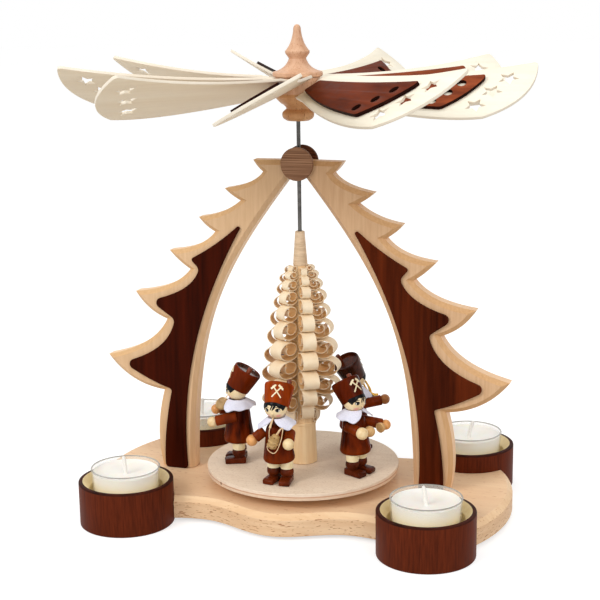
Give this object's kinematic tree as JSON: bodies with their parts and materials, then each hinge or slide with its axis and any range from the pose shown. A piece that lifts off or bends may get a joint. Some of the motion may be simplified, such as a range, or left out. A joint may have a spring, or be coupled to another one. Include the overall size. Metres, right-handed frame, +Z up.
{
  "type": "christmas pyramid",
  "caption": "Wooden tealight pyramid: fir-shaped arches on a waisted base, and a bladed rotor that turns a table with a ring tree and miner musicians.",
  "frame": {"origin": "on the floor under the shaft, at the middle of the base", "axes": "+Z up along the shaft, +X to the right along the arches, -Y towards the front"},
  "size_m": [0.251, 0.2515, 0.2703],
  "materials": {
    "base_beech": "clear oiled beech",
    "holder_stain": "red-brown stained, satin",
    "arch_maple": "clear oiled maple",
    "dark_stain": "dark red-brown stained, satin",
    "disc_wood": "bare brown wood",
    "brass": "plain brass",
    "shaft_steel": "bare steel rod",
    "hub_beech": "turned beech",
    "blade_plywood": "thin pale plywood",
    "turntable_plywood": "bare plywood with visible plies",
    "tree_shaving": "bare lime-wood shavings",
    "figure_lacquer": "red-brown gloss lacquer",
    "figure_skin": "clear lacquered wood with painted details",
    "tealight_cup": "clear cup",
    "tealight_wax": "white wax",
    "wick_cotton": "white cotton and felt"
  },
  "bodies": {
    "stand": {"base_plate": "base_beech", "candle_holder_front_left": "holder_stain", "candle_holder_front_right": "holder_stain", "candle_holder_back_right": "holder_stain", "candle_holder_back_left": "holder_stain", "arch_left": "arch_maple", "arch_inlay_front_left": "dark_stain", "arch_inlay_back_left": "dark_stain", "arch_right": "arch_maple", "arch_inlay_front_right": "dark_stain", "arch_inlay_back_right": "dark_stain", "guide_disc_front": "disc_wood", "guide_disc_back": "dark_stain", "guide_bush": "brass", "bearing_cup": "brass"},
    "carousel": {"shaft": "shaft_steel", "hub_body": "hub_beech", "finial_cap": "hub_beech", "blade_1": "blade_plywood", "blade_2": "blade_plywood", "blade_3": "blade_plywood", "blade_4": "blade_plywood", "blade_5": "blade_plywood", "blade_6": "blade_plywood", "blade_7": "blade_plywood", "blade_8": "blade_plywood", "blade_9": "blade_plywood", "blade_inlay_1": "dark_stain", "blade_inlay_2": "dark_stain", "blade_inlay_3": "dark_stain", "blade_inlay_4": "dark_stain", "blade_inlay_5": "dark_stain", "blade_inlay_6": "dark_stain", "blade_inlay_7": "dark_stain", "blade_inlay_8": "dark_stain", "blade_inlay_9": "dark_stain", "turntable": "turntable_plywood", "ring_tree": "tree_shaving", "miner_body_1": "figure_lacquer", "miner_head_1": "figure_skin", "miner_body_2": "figure_lacquer", "miner_head_2": "figure_skin", "miner_body_3": "figure_lacquer", "miner_head_3": "figure_skin", "miner_body_4": "figure_lacquer", "miner_head_4": "figure_skin", "miner_body_5": "figure_lacquer", "miner_head_5": "figure_skin"},
    "tealight_front_left": {"tealight_cup_front_left": "tealight_cup", "tealight_wax_front_left": "tealight_wax", "tealight_wick_front_left": "wick_cotton"},
    "tealight_front_right": {"tealight_cup_front_right": "tealight_cup", "tealight_wax_front_right": "tealight_wax", "tealight_wick_front_right": "wick_cotton"},
    "tealight_back_right": {"tealight_cup_back_right": "tealight_cup", "tealight_wax_back_right": "tealight_wax", "tealight_wick_back_right": "wick_cotton"},
    "tealight_back_left": {"tealight_cup_back_left": "tealight_cup", "tealight_wax_back_left": "tealight_wax", "tealight_wick_back_left": "wick_cotton"}
  },
  "joints": [
    {"name": "carousel_spin", "type": "hinge", "parent": "stand", "child": "carousel", "pos_m": [0, 0, 0], "axis": [0, 0, 1], "continuous": true},
    {"name": "tealight_front_left_lift", "type": "slide", "parent": "stand", "child": "tealight_front_left", "axis": [0, 0, 1], "range_m": [0, 0.045]},
    {"name": "tealight_front_right_lift", "type": "slide", "parent": "stand", "child": "tealight_front_right", "axis": [0, 0, 1], "range_m": [0, 0.045]},
    {"name": "tealight_back_right_lift", "type": "slide", "parent": "stand", "child": "tealight_back_right", "axis": [0, 0, 1], "range_m": [0, 0.045]},
    {"name": "tealight_back_left_lift", "type": "slide", "parent": "stand", "child": "tealight_back_left", "axis": [0, 0, 1], "range_m": [0, 0.045]}
  ]
}
